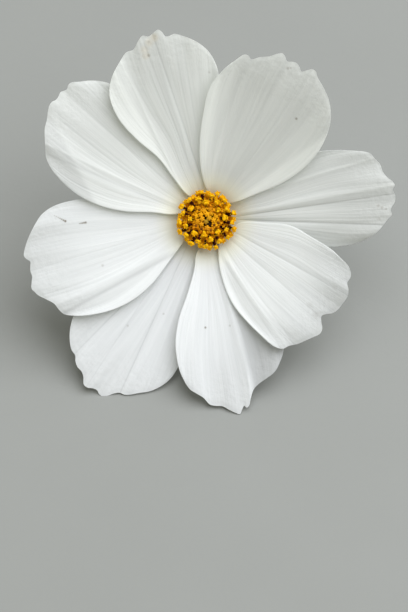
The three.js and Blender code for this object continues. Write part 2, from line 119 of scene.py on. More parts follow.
# Petals laid flat, root below and tip above. As in the CAD model, azimuth is which way one
# grows, seat how high its root sits, rise how far it climbs, edges how far its left and
# right edges lift, and droop from where its tip bends down and how much. A bend is [across
# at the bend span's start, across at its end, slope on its left, slope on its right], a
# fold [place across, height, width]. left and right are half widths at the stations.
# Only here, ruffle is how far the tip waves and tone how white it is near root and tip: the petal's
# own whiteness with painted shade where the petal turns away from the lamp.
# A crease is [across at the start, across at the end, height, width], painted darker along a groove
# and lighter along a ridge, and a band [across at the start, across at the end, side, change], painted
# whiter or greyer to that side: painted light where petals lie doubled, painted shade where one shades
# another or turns from the lamp. The dark spots are specks, and on petals 3 and 4 painted shade in
# wrinkles; tinged ones are ochre; both as [across, along, radius, strength].
PETALS = [
    dict(
        azimuth=103, seat=0.35, rise=1.2, edges=[0.7, -1.2], droop=[30, 0.3],
        ruffle=0.35, tone_and_shade=[0.87, 0.835],
        light_and_shade_bands=[[-3.5, -12, -1, 0.13], [0.6, 4.5, 1, 0.08]],
        bends=[[-3.5, -10, 0.2, 0]],
        folds=[[-0.47, -0.22, 0.14], [0.14, -0.2, 0.1], [0.55, 0.1, 0.14]],
        creases=[
            [1.1, -1.75, -0.28, 0.4], [-0.2, -4, -0.16, 0.4], [-3.5, -10, 0.28, 0.4],
            [1.6, 3.4, -0.08, 0.35],
        ],
        left=[3, 4.7, 6.9, 10.6, 13.3, 14.1],
        right=[2.2, 3, 5.2, 7.1, 8.6, 9.5],
        tip=[
            [-12.9, 33.6], [-10.2, 36.9], [-8.5, 38.4], [-7, 38.6], [-5.6, 40.1], [-4.5, 41],
            [-3.2, 40.6], [-2, 41.1], [-1, 41.5], [-0.3, 41], [0.3, 39.8], [1, 39.7],
            [2.2, 39.9], [4.2, 38.9], [6.5, 37.2], [8.2, 35.2], [9.2, 32.8],
        ],
        specks_and_shade=[
            [-4.1, 36.7, 0.4, 0.45], [-3.4, 39.5, 0.35, 0.25], [-1.8, 40.4, 0.35, 0.2],
            [7.6, 30.4, 0.3, 0.25],
        ],
        tinged=[
            [-2.1, 40.1, 1.1, 0.22], [-3.4, 39.3, 1.1, 0.17], [-4.7, 38, 1.1, 0.16],
            [-4.7, 36.8, 1, 0.16],
        ],
    ),
    dict(
        azimuth=62, seat=1, rise=4.2, edges=[0.2, 0], droop=[31, 1.6],
        ruffle=0.3, tone_and_shade=[0.815, 0.80],
        light_and_shade_bands=[[-2.3, -10.6, -1, 0.08], [-4.6, -14, -1, 0.12], [2.4, 11, 1, 0.06], [3.4, 18, 1, 0.14]],
        bends=[[-3.2, -10, 0.12, 0], [3.1, 13.5, 0, -0.12]],
        folds=[[-0.8, 0.15, 0.12], [-0.2, -0.1, 0.12], [0.2, 0.1, 0.12], [0.66, -0.18, 0.14]],
        creases=[[-3.2, -10, 0.1, 0.5], [1.2, 4.5, -0.08, 0.4], [-0.8, -3.2, 0.07, 0.4]],
        left=[3.9, 6.8, 9.5, 11.3, 12.5, 11.6],
        right=[3.9, 6.9, 10.9, 13.3, 14.3, 13.7],
        tip=[
            [-10.4, 32.7], [-9.3, 34.6], [-8.4, 34.8], [-7.6, 34.4], [-6.2, 35.6], [-4.4, 36.8],
            [-3.2, 38], [-2.3, 38.6], [-1.5, 38.3], [-0.6, 37.6], [0.4, 38], [1.3, 38.2],
            [2.3, 37.7], [3, 37.1], [4, 37.9], [4.9, 38.6], [5.7, 38.5], [6.7, 37.6],
            [8.6, 36.4], [10.8, 34.7], [12.5, 32.6],
        ],
        specks_and_shade=[[0.2, 36.4, 0.35, 0.35], [0.7, 36.7, 0.25, 0.3], [6.8, 27.9, 0.3, 0.75]],
    ),
    dict(
        azimuth=6, seat=-0.6, rise=-0.3, edges=[-0.4, -0.8], droop=[30, 0.3],
        ruffle=0.3, tone_and_shade=[0.87, 0.78], light_and_shade_bands=[],
        bends=[[4.5, 2.5, 0, -0.16]],
        folds=[[-0.6, 0.1, 0.14], [-0.05, 0.14, 0.12], [0.16, -0.14, 0.1], [0.6, 0.1, 0.12]],
        creases=[
            [-0.7, -3, 0.25, 0.6], [-0.1, -1.2, -0.3, 0.35], [0.7, 4.8, -0.42, 0.45],
            [-3.9, -9.3, 0.25, 0.6],
        ],
        left=[4.2, 5.4, 8.4, 11, 12, 11.7],
        right=[2.4, 3.3, 5, 7, 8.4, 8.4],
        tip=[
            [-11.2, 33.4], [-10.5, 35.9], [-9.2, 36.9], [-7.9, 37.9], [-6.3, 38.3], [-5, 39.1],
            [-4, 40.1], [-3.2, 40.5], [-2.2, 40], [-1, 40.4], [0.4, 40.2], [1.3, 39.5],
            [2.1, 39.1], [3, 39.3], [3.8, 38.4], [5.4, 36.9], [6.9, 35], [7.9, 32.6],
        ],
        # Painted shade in the small wrinkles at the tip
        specks_and_shade=[
            [0.9, 36.6, 0.4, 0.3], [1.3, 37.4, 0.35, 0.35], [1.7, 38.2, 0.3, 0.3],
            [3.6, 36.6, 0.4, 0.2],
        ],
    ),
    dict(
        azimuth=-37, seat=0.8, rise=7.5, edges=[0.1, 0.3], droop=[23, 5],
        ruffle=0.35, tone_and_shade=[1, 0.80], light_and_shade_bands=[],
        bends=[[2.8, 14, 0, -0.16]],
        folds=[[-0.5, -0.08, 0.12], [-0.15, -0.05, 0.12], [0.05, -0.1, 0.12], [0.8, -0.3, 0.12]],
        creases=[
            [2.6, 11.5, -0.12, 0.35], [3.6, 13.4, 0.12, 0.35], [4.4, 14.8, -0.12, 0.35],
            [-1.6, -5.6, -0.2, 0.35], [0.3, 2.3, -0.12, 0.3], [-0.8, -2.2, -0.08, 0.3],
        ],
        left=[4.4, 6.9, 9.8, 10.5, 10.9],
        right=[4.4, 7.8, 10.8, 12.1, 12.7],
        tip=[
            [-10.6, 28], [-10.2, 30.1], [-9.3, 31.4], [-8.4, 31.8], [-7.3, 31.9], [-6.3, 33],
            [-5, 33.7], [-3.2, 33.8], [-1.2, 33.7], [-0.2, 33.2], [0.7, 32.3], [1.6, 31.8],
            [2.6, 32.5], [3.6, 33.5], [4.8, 33.8], [6.2, 33.1], [8, 32.1], [9.4, 31.3],
            [10.8, 30.1], [12.1, 29.4], [12.8, 27.6],
        ],
        # Painted shade in the wrinkles round the notch and near the tip
        specks_and_shade=[[2.1, 30.7, 1, 0.13], [1.2, 28.4, 0.8, 0.09], [-4.9, 30.4, 0.6, 0.1]],
    ),
    dict(
        azimuth=-81, seat=0, rise=2, edges=[-0.9, 0.7], droop=[28, 0.9],
        ruffle=0.25, tone_and_shade=[0.975, 0.89],
        light_and_shade_bands=[[-1.5, -4.2, -1, -0.24]],
        bends=[[-0.8, -3.6, 0.05, 0]],
        folds=[[-0.27, 0.3, 0.12], [0.25, -0.1, 0.12], [0.62, 0.12, 0.12]],
        creases=[[-0.8, -3.6, 0.06, 0.4], [1, 4, -0.05, 0.5]],
        left=[2.4, 3.6, 7, 10, 12, 11.8],
        right=[3.1, 4.2, 6.5, 9.1, 10.6, 10.7],
        tip=[
            [-10.6, 32.4], [-9.3, 34.1], [-7.4, 35.2], [-5.6, 36.1], [-4.3, 37.1], [-3.4, 38.8],
            [-2.8, 40.3], [-2.2, 40.7], [-1.8, 40.2], [-1.2, 40.9], [-0.6, 41.8], [0.3, 41.4],
            [1.6, 40.5], [2.8, 39.6], [4.2, 39.3], [5.4, 38.8], [6.5, 37.2], [7.8, 36.1],
            [9.1, 34.9], [10.1, 32.6],
        ],
        specks_and_shade=[[3.8, 22.6, 0.28, 0.85], [-1.4, 23, 0.3, 0.3]],
    ),
    dict(
        azimuth=-119, seat=-0.95, rise=-1, edges=[-0.5, -0.7], droop=[30, 0.4],
        ruffle=0.3, tone_and_shade=[0.91, 0.92], light_and_shade_bands=[],
        bends=[],
        folds=[[-0.3, -0.12, 0.12], [0.1, 0.14, 0.12], [0.35, -0.16, 0.12], [0.62, -0.12, 0.12]],
        creases=[
            [0.9, -1.4, -0.3, 0.35], [2, 10, -0.22, 0.4], [-1.5, -6, 0.12, 0.5],
            [2.6, 4.6, -0.15, 0.35],
        ],
        left=[2.6, 3.5, 5.6, 7.6, 9.2, 9.9],
        right=[2.8, 4.2, 6.9, 10, 12.9, 14.8],
        tip=[
            [-9.7, 33], [-8.8, 35.4], [-7.2, 37.6], [-5.2, 39.2], [-4, 40.2], [-2.8, 40.9],
            [-1.6, 41.1], [-0.6, 41.9], [0.3, 42.9], [1.2, 43.5], [2, 43.4], [2.8, 42.9],
            [3.8, 43], [4.8, 43.4], [5.8, 43.2], [6.7, 41.8], [7.6, 41], [8.8, 40.6],
            [9.8, 39.7], [10.4, 38.7], [11.7, 38], [13.2, 36.1], [14.4, 33.4],
        ],
        specks_and_shade=[[-1.7, 21.9, 0.3, 0.3], [3.7, 27.8, 0.3, 0.3]],
    ),
    dict(
        azimuth=-162, seat=-0.3, rise=0.2, edges=[0.9, -0.5], droop=[27, 1.1],
        ruffle=0.3, tone_and_shade=[0.975, 0.90], light_and_shade_bands=[],
        bends=[[-3.4, -7.2, -0.06, 0]],
        folds=[[-0.75, -0.22, 0.12], [-0.5, 0.14, 0.12], [-0.1, -0.1, 0.12], [0.35, -0.12, 0.12]],
        creases=[[-3.4, -7.2, 0.15, 0.7], [-4.4, -9.7, -0.3, 0.9], [0.5, 1.2, -0.1, 0.35]],
        left=[3.2, 5.7, 9.2, 11.3, 12, 11.5],
        right=[4.2, 5.6, 8.6, 11.1, 12.6, 12.8],
        tip=[
            [-10.7, 32.9], [-9.7, 34.9], [-8.4, 35.7], [-7, 36.2], [-5.5, 37.6], [-4.2, 38.9],
            [-3.3, 39.4], [-2.4, 39.8], [-1.2, 39.4], [0, 38.9], [1.2, 38.9], [2.2, 38.6],
            [3.1, 38.3], [3.9, 38.9], [4.7, 39.2], [6.2, 38.5], [8.4, 36.8], [10.4, 34.8],
            [11.9, 32.9],
        ],
        specks_and_shade=[
            [9, 28.6, 0.3, 1], [9.3, 28.9, 0.24, 0.9], [9.6, 29.2, 0.22, 0.8],
            [9.9, 29.5, 0.2, 0.7], [10.2, 29.8, 0.18, 0.6], [10.5, 30.1, 0.18, 0.5],
            [10.8, 30.4, 0.16, 0.4], [7.4, 24.6, 0.28, 0.9], [7.45, 24.95, 0.24, 0.9],
            [7.5, 25.3, 0.22, 0.8], [7.55, 25.6, 0.2, 0.7], [7.6, 25.9, 0.18, 0.6],
            [-2.4, 24, 0.35, 0.3],
        ],
    ),
    dict(
        azimuth=143, seat=-0.05, rise=0.8, edges=[1, -0.8], droop=[28, 0.7],
        ruffle=0.3, tone_and_shade=[0.985, 0.905],
        light_and_shade_bands=[[-1.2, -7.4, -1, -0.03], [-18, -4, -1, -0.12]],
        bends=[[-1.2, -7.4, -0.05, 0]],
        folds=[[-0.54, 0.2, 0.1], [-0.2, -0.1, 0.12], [0.3, -0.16, 0.16]],
        creases=[[-1.2, -7.4, 0.2, 0.5], [-2.2, -9.4, -0.15, 0.6], [1.2, 3, -0.12, 0.4]],
        left=[3.4, 5.5, 9, 11.2, 12.2, 11.9],
        right=[2.6, 3.8, 7, 9.6, 11.2, 11.6],
        tip=[
            [-11.2, 32.6], [-9.9, 35.1], [-8.4, 36.4], [-6.9, 37.7], [-5.2, 39], [-3.4, 39.8],
            [-1.8, 40.7], [-0.6, 41.2], [0.3, 41.2], [1.1, 40.8], [2, 40.8], [3, 41],
            [3.8, 40.5], [4.4, 40.3], [5.2, 40.6], [6, 40.4], [7.2, 39.1], [8.8, 37.4],
            [10.2, 35.2], [11, 33],
        ],
        specks_and_shade=[],
    ),
]


# --- Curves ---

def spline(points, steps):
    """Points on a centripetal Catmull-Rom curve through the given ones, steps to a stretch."""
    given = np.asarray(points, float)
    knots = np.vstack([2 * given[0] - given[1], given, 2 * given[-1] - given[-2]])
    u = (np.arange(steps) / steps)[:, None]
    made = []
    for p0, p1, p2, p3 in zip(knots, knots[1:], knots[2:], knots[3:]):
        d0, d1, d2 = (math.sqrt(np.linalg.norm(b - a)) for a, b in ((p0, p1), (p1, p2), (p2, p3)))
        m1 = ((p1 - p0) / d0 - (p2 - p0) / (d0 + d1) + (p2 - p1) / d1) * d1
        m2 = ((p2 - p1) / d1 - (p3 - p1) / (d1 + d2) + (p3 - p2) / d2) * d1
        made.append(p1 + m1 * u + (3 * (p2 - p1) - 2 * m1 - m2) * u**2
                    + (2 * (p1 - p2) + m1 + m2) * u**3)
    return np.vstack(made + [given[-1:]])


def along_curve(curve, shares):
    """The points at these shares of a curve's own length."""
    steps = np.linalg.norm(np.diff(curve, axis=0), axis=1)
    length = np.concatenate([[0], np.cumsum(steps)])
    return np.stack([np.interp(shares * length[-1], length, c) for c in curve.T], axis=-1)


def smoothstep(x, low, high):
    u = np.clip((x - low) / (high - low), 0, 1)
    return u * u * (3 - 2 * u)


# --- Meshes ---

def place(points):
    """From the head's own frame, in mm, to the part's frame, still in mm."""
    x, y, z = np.asarray(points, float).T
    tilted = [x, y * math.cos(TILT) - z * math.sin(TILT), y * math.sin(TILT) + z * math.cos(TILT)]
    return np.stack(tilted, axis=-1) + HEAD_CENTRE


class Shape:
    """Closed skins gathered into one mesh. Each point keeps a note for its material."""

    def __init__(self):
        self.points, self.notes, self.faces, self.finish = [], [], [], []
        self.count = 0

    def add(self, points, faces, finish=0, notes=None):
        points = np.asarray(points, float)
        flip = signed_volume(points, faces) < 0
        for number, face in enumerate(faces):
            moved = [self.count + i for i in face]
            self.faces.append(moved[::-1] if flip else moved)
            self.finish.append(finish if isinstance(finish, int) else finish[number])
        self.points.append(points)
        self.notes.append(np.zeros_like(points) if notes is None else np.asarray(notes, float))
        self.count += len(points)

    def piece(self, name, materials, node, tilted=True):
        points = np.vstack(self.points)
        world = (place(points) if tilted else points) * MM
        mesh = bpy.data.meshes.new(name)
        mesh.from_pydata(world.tolist(), [], self.faces)
        for material in materials:
            mesh.materials.append(material)
        mesh.polygons.foreach_set("material_index", self.finish)
        mesh.polygons.foreach_set("use_smooth", [True] * len(self.faces))
        note = mesh.attributes.new("grown", "FLOAT_VECTOR", "POINT")
        note.data.foreach_set("vector", np.vstack(self.notes).astype(np.float32).ravel())
        mesh.update()
        made = bpy.data.objects.new(name, mesh)
        bpy.context.scene.collection.objects.link(made)
        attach(made, "root")
        if node:
            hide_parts(node)
        return made


def signed_volume(points, faces):
    """Six times the volume inside, below zero if the faces look inwards."""
    total = 0.0
    for corners in (3, 4):
        chosen = np.array([face for face in faces if len(face) == corners], int).reshape(-1, corners)
        a = points[chosen[:, 0]]
        for i in range(1, corners - 1):
            total += np.einsum("ij,ij->", a, np.cross(points[chosen[:, i]], points[chosen[:, i + 1]]))
    return total


def sheet(top, bottom):
    """The points and faces of a closed skin round two grids of points."""
    rows, columns = top.shape[:2]
    points = np.vstack([top.reshape(-1, 3), bottom.reshape(-1, 3)])
    at = np.arange(rows * columns).reshape(rows, columns)
    under = at + rows * columns
    faces = np.stack([at[:-1, :-1], at[:-1, 1:], at[1:, 1:], at[1:, :-1]], -1).reshape(-1, 4)
    below = np.stack([under[:-1, :-1], under[1:, :-1], under[1:, 1:], under[:-1, 1:]], -1)
    ring = np.concatenate([at[0, :-1], at[:-1, -1], at[-1, :0:-1], at[:0:-1, 0]])
    ahead = np.roll(ring, -1)
    around = np.stack([ahead, ring, ring + rows * columns, ahead + rows * columns], -1)
    return points, np.vstack([faces, below.reshape(-1, 4), around]).tolist()


def normals_of(grid):
    along, across = np.gradient(grid, axis=0), np.gradient(grid, axis=1)
    normal = np.cross(across, along)
    return normal / np.linalg.norm(normal, axis=-1, keepdims=True)


def turned(axis, rings, sides, reference=(0.0, 0.0, 1.0)):
    """A closed skin turned about a curve. axis holds the curve's points, and each ring is
    (radius, share of the curve), as numbers or as arrays round the ring."""
    shares = np.linspace(0, 1, len(axis))
    tangents = np.gradient(axis, axis=0)
    tangents /= np.linalg.norm(tangents, axis=1, keepdims=True)
    angle = np.arange(sides) * 2 * math.pi / sides
    points, faces = [], []
    for radius, share in rings:
        share = np.broadcast_to(np.asarray(share, float), (sides,))
        centre = np.stack([np.interp(share, shares, c) for c in axis.T], -1)
        forward = np.stack([np.interp(share, shares, c) for c in tangents.T], -1)
        sideways = np.cross(forward, reference)
        if np.linalg.norm(sideways[0]) < 1e-4:
            sideways = np.tile([1.0, 0.0, 0.0], (sides, 1))
        sideways /= np.linalg.norm(sideways, axis=1, keepdims=True)
        outward = np.cross(sideways, forward)
        swing = np.cos(angle)[:, None] * sideways + np.sin(angle)[:, None] * outward
        points.append(centre + swing * np.broadcast_to(np.asarray(radius, float), (sides,))[:, None])
    count = len(rings)
    for i in range(count - 1):
        for j in range(sides):
            k = (j + 1) % sides
            faces.append([i * sides + j, i * sides + k, (i + 1) * sides + k, (i + 1) * sides + j])
    first, last = count * sides, count * sides + 1
    points.append(points[0].mean(axis=0, keepdims=True))
    points.append(points[-2].mean(axis=0, keepdims=True))
    for j in range(sides):
        k = (j + 1) % sides
        faces.append([first, k, j])
        faces.append([last, (count - 1) * sides + j, (count - 1) * sides + k])
    return np.vstack(points), faces


# --- Materials ---

class Finish:
    """A node material, with short ways to add its nodes."""

    def __init__(self, name):
        self.material = bpy.data.materials.new(name)
        self.material.use_nodes = True
        self.tree = self.material.node_tree
        self.tree.nodes.clear()
        self.grown = self.node("ShaderNodeAttribute", attribute_name="grown").outputs["Vector"]

    def node(self, kind, inputs=None, **settings):
        made = self.tree.nodes.new(kind)
        for key, value in settings.items():
            setattr(made, key, value)
        for key, value in (inputs or {}).items():
            self.feed(made.inputs[key], value)
        return made

    def feed(self, socket, value):
        if isinstance(value, bpy.types.NodeSocket):
            self.tree.links.new(value, socket)
        else:
            socket.default_value = value

    def math(self, operation, a, b=0.0, c=0.0):
        return self.node("ShaderNodeMath", {0: a, 1: b, 2: c}, operation=operation).outputs[0]

    def mix(self, factor, a, b, blend="MIX"):
        made = self.node("ShaderNodeMix", {0: factor, 6: a, 7: b}, data_type="RGBA", blend_type=blend)
        return made.outputs[2]

    def ramp(self, value, low, high, to_low=0.0, to_high=1.0):
        inputs = {0: value, 1: low, 2: high, 3: to_low, 4: to_high}
        return self.node("ShaderNodeMapRange", inputs, interpolation_type="SMOOTHSTEP").outputs[0]

    def split(self, vector):
        return self.node("ShaderNodeSeparateXYZ", {0: vector}).outputs

    def join(self, x, y, z=0.0):
        return self.node("ShaderNodeCombineXYZ", {0: x, 1: y, 2: z}).outputs[0]

    def noise(self, vector, scale, detail=3.0, roughness=0.5):
        inputs = {"Vector": vector, "Scale": scale, "Detail": detail, "Roughness": roughness}
        return self.node("ShaderNodeTexNoise", inputs).outputs[0]

    def flat_place(self):
        """Where a point of a petal is in the petal's own plan, laid flat."""
        return self.node("ShaderNodeAttribute", attribute_name="flat").outputs["Vector"]

    def spots(self, color, spots, spot_color):
        """Soft round spots on a petal laid flat, as [across, along, radius, strength]: stains and
        specks, and painted shade where a spot sits in a wrinkle.
        """
        stain_and_shade = 0.0
        for across, along, radius, strength in spots:
            apart = {0: self.flat_place(), 1: (across, along, 0)}
            gap = self.node("ShaderNodeVectorMath", apart, operation="DISTANCE").outputs["Value"]
            spot = self.ramp(gap, radius * 0.25, radius * 1.25, strength, 0.0)
            stain_and_shade = self.math("MAXIMUM", spot, stain_and_shade)
        return self.mix(stain_and_shade, color, spot_color) if spots else color

    def bump(self, height, strength, distance, normal=None):
        inputs = {"Height": height, "Strength": strength, "Distance": distance}
        if normal is not None:
            inputs["Normal"] = normal
        return self.node("ShaderNodeBump", inputs).outputs[0]

    def surface(self, color, roughness, normal, specular=0.4, translucent=None, share=0.0):
        shader = self.node("ShaderNodeBsdfPrincipled", {
            "Base Color": color, "Roughness": roughness, "Normal": normal,
            "Specular IOR Level": specular,
        }).outputs[0]
        if translucent is not None:
            glow = self.node("ShaderNodeBsdfTranslucent", {"Color": translucent, "Normal": normal})
            inputs = {0: share, 1: shader, 2: glow.outputs[0]}
            shader = self.node("ShaderNodeMixShader", inputs).outputs[0]
        self.node("ShaderNodeOutputMaterial", {"Surface": shader})
        return self.material


# Each petal's tone holds painted shade as well as its own whiteness
TONE_AND_SHADE_SPAN = (18.0, 34.0)  # distances from the flower's axis between which the tone changes
CREAM_SPAN = (6.0, 12.0)  # and the cream of the root fades
# Painted shade along a crease's groove and painted highlight along its ridge
GROOVE_SHADE = 0.5  # how much darker, for a millimetre of depth
RIDGE_HIGHLIGHT = 0.35
STREAK_TONE = 0.025
# How much bluer or warmer the petals are painted, as painted sky light
SKY_TINT = 0.025


def petal_finish(petal, number):
    """White and matt, cream at the root, with fine veins, soft bands, creases and blemishes, and
    painted light and shade: greyer where the petal turns from the lamp, bands lighter or darker where
    petals lie doubled or shade each other, and painted shade in grooves and wrinkles with painted
    highlights on ridges.
    grown holds the place across, the distance from the flower's axis and the share along."""
    f = Finish(f"petal_{number}")
    place_across, distance, share = f.split(f.grown)
    plan_across, plan_along, _ = f.split(f.flat_place())
    bend_start, bend_end = BEND_SPAN
    out = f.math("MULTIPLY", f.math("SUBTRACT", plan_along, bend_start), 1 / (bend_end - bend_start))

    def streaked(across, along, shift, detail, roughness=0.5):
        x, y = f.math("MULTIPLY", place_across, across), f.math("MULTIPLY", share, along)
        return f.noise(f.join(x, y, shift), 1.0, detail, roughness)

    def aside_of_line(near_root, near_tip):
        line = f.math("MULTIPLY_ADD", out, near_tip - near_root, near_root)
        return f.math("SUBTRACT", plan_across, line)

    streaks = streaked(15, 1.1, number, 4.0, 0.65)
    fine = streaked(60, 3.0, number, 2.0)
    broad = streaked(6, 1.0, number + 20, 2.0)
    cloud = streaked(3.0, 3.0, number, 3.0)
    crumpled = f.noise(f.flat_place(), 0.7, 2.0, 0.6)

    color = f.mix(f.ramp(streaks, 0.35, 0.65), (0.90, 0.91, 0.90, 1), (0.97, 0.975, 0.965, 1))
    color = f.mix(f.ramp(fine, 0.55, 0.75, 0.0, 0.5), color, (0.86, 0.87, 0.86, 1))
    color = f.mix(f.ramp(cloud, 0.3, 0.7, 0.0, 0.3), color, (0.94, 0.95, 0.94, 1))

    # Painted shade: each petal is painted greyer where it turns away from the lamp, most on the upper
    # petals and on drooping tips
    tone_and_shade = f.ramp(distance, *TONE_AND_SHADE_SPAN, *petal["tone_and_shade"])
    # Painted light and shade in bands: lighter where petals lie doubled, darker where one petal shades
    # another or turns away from the lamp
    for near_root, near_tip, side, change in petal["light_and_shade_bands"]:
        past = f.math("MULTIPLY", aside_of_line(near_root, near_tip), side)
        tone_and_shade = f.math("ADD", tone_and_shade, f.ramp(past, -0.6, 0.8, 0.0, change))
    # Painted shade along each groove and a painted highlight along each ridge, so the creases show
    for near_root, near_tip, height, width in petal["creases"]:
        gap = f.math("ABSOLUTE", aside_of_line(near_root, near_tip))
        painted = height * (GROOVE_SHADE if height < 0 else RIDGE_HIGHLIGHT)
        tone_and_shade = f.math("ADD", tone_and_shade, f.ramp(gap, 0.0, 0.8 * width, painted, 0.0))
    tone_and_shade = f.math("ADD", tone_and_shade, f.ramp(broad, 0.35, 0.65, -STREAK_TONE, STREAK_TONE))
    # Painted sky light: the lower petals are painted a little bluer, the upper ones a little warmer
    blue = 1 - SKY_TINT * math.sin(math.radians(petal["azimuth"] + 20))
    color = f.mix(1.0, color, f.join(tone_and_shade, tone_and_shade, f.math("MULTIPLY", tone_and_shade, blue)), "MULTIPLY")
    color = f.mix(f.ramp(distance, *CREAM_SPAN, 0.75, 0.0), color, (0.97, 0.98, 0.79, 1))
    color = f.spots(color, petal.get("tinged", []), (0.72, 0.50, 0.20, 1))
    # Dark specks, and painted shade in the wrinkles of petals 3 and 4
    color = f.spots(color, petal["specks_and_shade"], (0.16, 0.11, 0.06, 1))

    bump = f.bump(fine, 0.35, 0.00008)
    bump = f.bump(streaks, 0.35, 0.0002, bump)
    wrinkles = f.math("MULTIPLY", crumpled, f.ramp(share, 0.7, 0.95, 0.1, 1.0))
    bump = f.bump(wrinkles, 0.5, 0.0003, bump)
    roughness = f.ramp(cloud, 0.2, 0.8, 0.52, 0.66)
    return f.surface(color, roughness, bump, 0.3, (0.94, 0.96, 0.92, 1), 0.3)


def speckled(name, dark, light, scale, roughness=0.6, bump=0.3, depth=0.0001, specular=0.4,
             share=0.0):
    """A tissue that varies between two colours, with a fine bumpy skin. share is how much of
    the light goes through it."""
    f = Finish(name)
    where = f.node("ShaderNodeTexCoord").outputs["Object"]
    noise = f.noise(where, scale, 4.0)
    color = f.mix(f.ramp(noise, 0.35, 0.65), dark, light)
    grain = f.noise(where, scale * 4, 2.0)
    normal = f.bump(grain, bump, depth)
    glow = light if share else None
    return f.surface(color, roughness, normal, specular, glow, share)


def bud_finish():
    """The closed buds go from orange to olive green in the middle of the disc, and are painted darker
    lower down and near black at their feet: painted shade down between them. grown holds the distance
    out and the share up."""
    f = Finish("closed_bud")
    radius, share, _ = f.split(f.grown)
    where = f.node("ShaderNodeTexCoord").outputs["Object"]
    noise = f.noise(where, 900.0, 3.0)
    patch = f.noise(where, 450.0, 2.0)
    orange = f.mix(f.ramp(noise, 0.3, 0.7), (0.82, 0.34, 0.002, 1), (0.94, 0.48, 0.004, 1))
    olive = f.mix(noise, (0.30, 0.18, 0.012, 1), (0.50, 0.32, 0.02, 1))
    color = f.mix(f.ramp(radius, 0.3, 1.1), olive, orange)
    color = f.mix(f.ramp(patch, 0.45, 0.7, 0.0, 0.6), color, (0.46, 0.15, 0.004, 1))
    # Painted shade: darker down the buds' sides and near black at their feet, where they crowd
    # together
    color = f.mix(f.ramp(share, 0.5, 0.78, 0.8, 0.0), color, (0.42, 0.13, 0.003, 1))
    color = f.mix(f.ramp(share, 0.0, 0.05, 0.95, 0.0), color, (0.012, 0.012, 0.006, 1))
    return f.surface(color, 0.65, f.bump(noise, 0.3, 0.0001), 0.15)


def bract_finish(name, dark, light, margin, share):
    """Fine veins along the bract, and a paler margin. grown holds the places across and along."""
    f = Finish(name)
    place_across, along, _ = f.split(f.grown)
    where = f.join(f.math("MULTIPLY", place_across, 14), f.math("MULTIPLY", along, 1.5), 3.0)
    veins = f.noise(where, 1.0, 3.0)
    color = f.mix(f.ramp(veins, 0.35, 0.65), dark, light)
    edge = f.ramp(f.math("ABSOLUTE", place_across), 0.6, 0.98)
    color = f.mix(edge, color, margin)
    return f.surface(color, 0.5, f.bump(veins, 0.5, 0.0002), 0.4, light, share)


def stem_finish():
    """Ribbed green skin, with darker furrows. grown holds how high on a rib a point is."""
    f = Finish("stem_skin")
    ridge = f.split(f.grown)[0]
    where = f.node("ShaderNodeTexCoord").outputs["Object"]
    noise = f.noise(where, 160.0, 4.0)
    color = f.mix(f.ramp(ridge, 0.2, 0.9), (0.09, 0.17, 0.03, 1), (0.24, 0.38, 0.09, 1))
    color = f.mix(f.ramp(noise, 0.4, 0.7, 0.0, 0.4), color, (0.30, 0.36, 0.12, 1))
    return f.surface(color, 0.45, f.bump(f.noise(where, 1500.0), 0.3, 0.00008), 0.45)


# --- Ray florets ---

PETAL_ACROSS = 168
PETAL_ALONG = 60
PETAL_THICKNESS = 0.26
VEINS = 34


def petal_plan(petal):
    """The petal's grid of points seen along the flower's axis, from its four edges."""
    left = [[-w, y] for w, y in zip(petal["left"], STATIONS)]
    right = [[w, y] for w, y in zip(petal["right"], STATIONS)][::-1]
    claw = [[-CLAW_HALF_WIDTH, CLAW_RADIUS], [CLAW_HALF_WIDTH, CLAW_RADIUS]]
    steps = 12
    rim = spline([claw[0], *left, *petal["tip"], *right, claw[1]], steps)
    from_tip = len(left) * steps
    to_tip = (len(left) + len(petal["tip"]) + 1) * steps
    s = np.linspace(0, 1, PETAL_ACROSS + 1)
    t = np.sin(np.linspace(0, 1, PETAL_ALONG + 1) * math.pi / 2) ** 0.9  # closer rows at the tip
    left_edge = along_curve(rim[: from_tip + 1], t)[:, None]
    tip_edge = along_curve(rim[from_tip: to_tip + 1], s)[None]
    right_edge = along_curve(rim[: to_tip - 1: -1], t)[:, None]
    root_edge = (np.outer(1 - s, claw[0]) + np.outer(s, claw[1]))[None]
    s, t = np.meshgrid(s, t)
    u, v = s[..., None], t[..., None]
    corners = ((1 - u) * (1 - v) * claw[0] + u * (1 - v) * claw[1]
               + (1 - u) * v * rim[from_tip] + u * v * rim[to_tip])
    plan = (1 - u) * left_edge + u * right_edge + (1 - v) * root_edge + v * tip_edge - corners
    return plan, 2 * s - 1, t


def fold_heights(folds, place_across):
    return sum(h * np.exp(-(((place_across - at) / w) ** 2)) for at, h, w in folds)


def aside_of(line, plan):
    """How far each point of the plan is to the right of a line of the petal."""
    share = (plan[..., 1] - BEND_SPAN[0]) / (BEND_SPAN[1] - BEND_SPAN[0])
    return plan[..., 0] - line[0] - (line[1] - line[0]) * share


def bend_heights(bends, plan):
    total = 0.0
    for *line, left_slope, right_slope in bends:
        aside = aside_of(line, plan)
        soft = np.sqrt(aside**2 + 0.3) - 0.5  # rounds the bend a little
        total = total + np.where(aside < 0, left_slope, right_slope) * np.maximum(soft, 0)
    return total


def crease_heights(creases, plan):
    """Sharp ridges and grooves, like a sheet that was folded and opened again."""
    total = 0.0
    for *line, height, width in creases:
        total = total + height * np.exp(-np.sqrt((aside_of(line, plan) / width) ** 2 + 0.05))
    return total


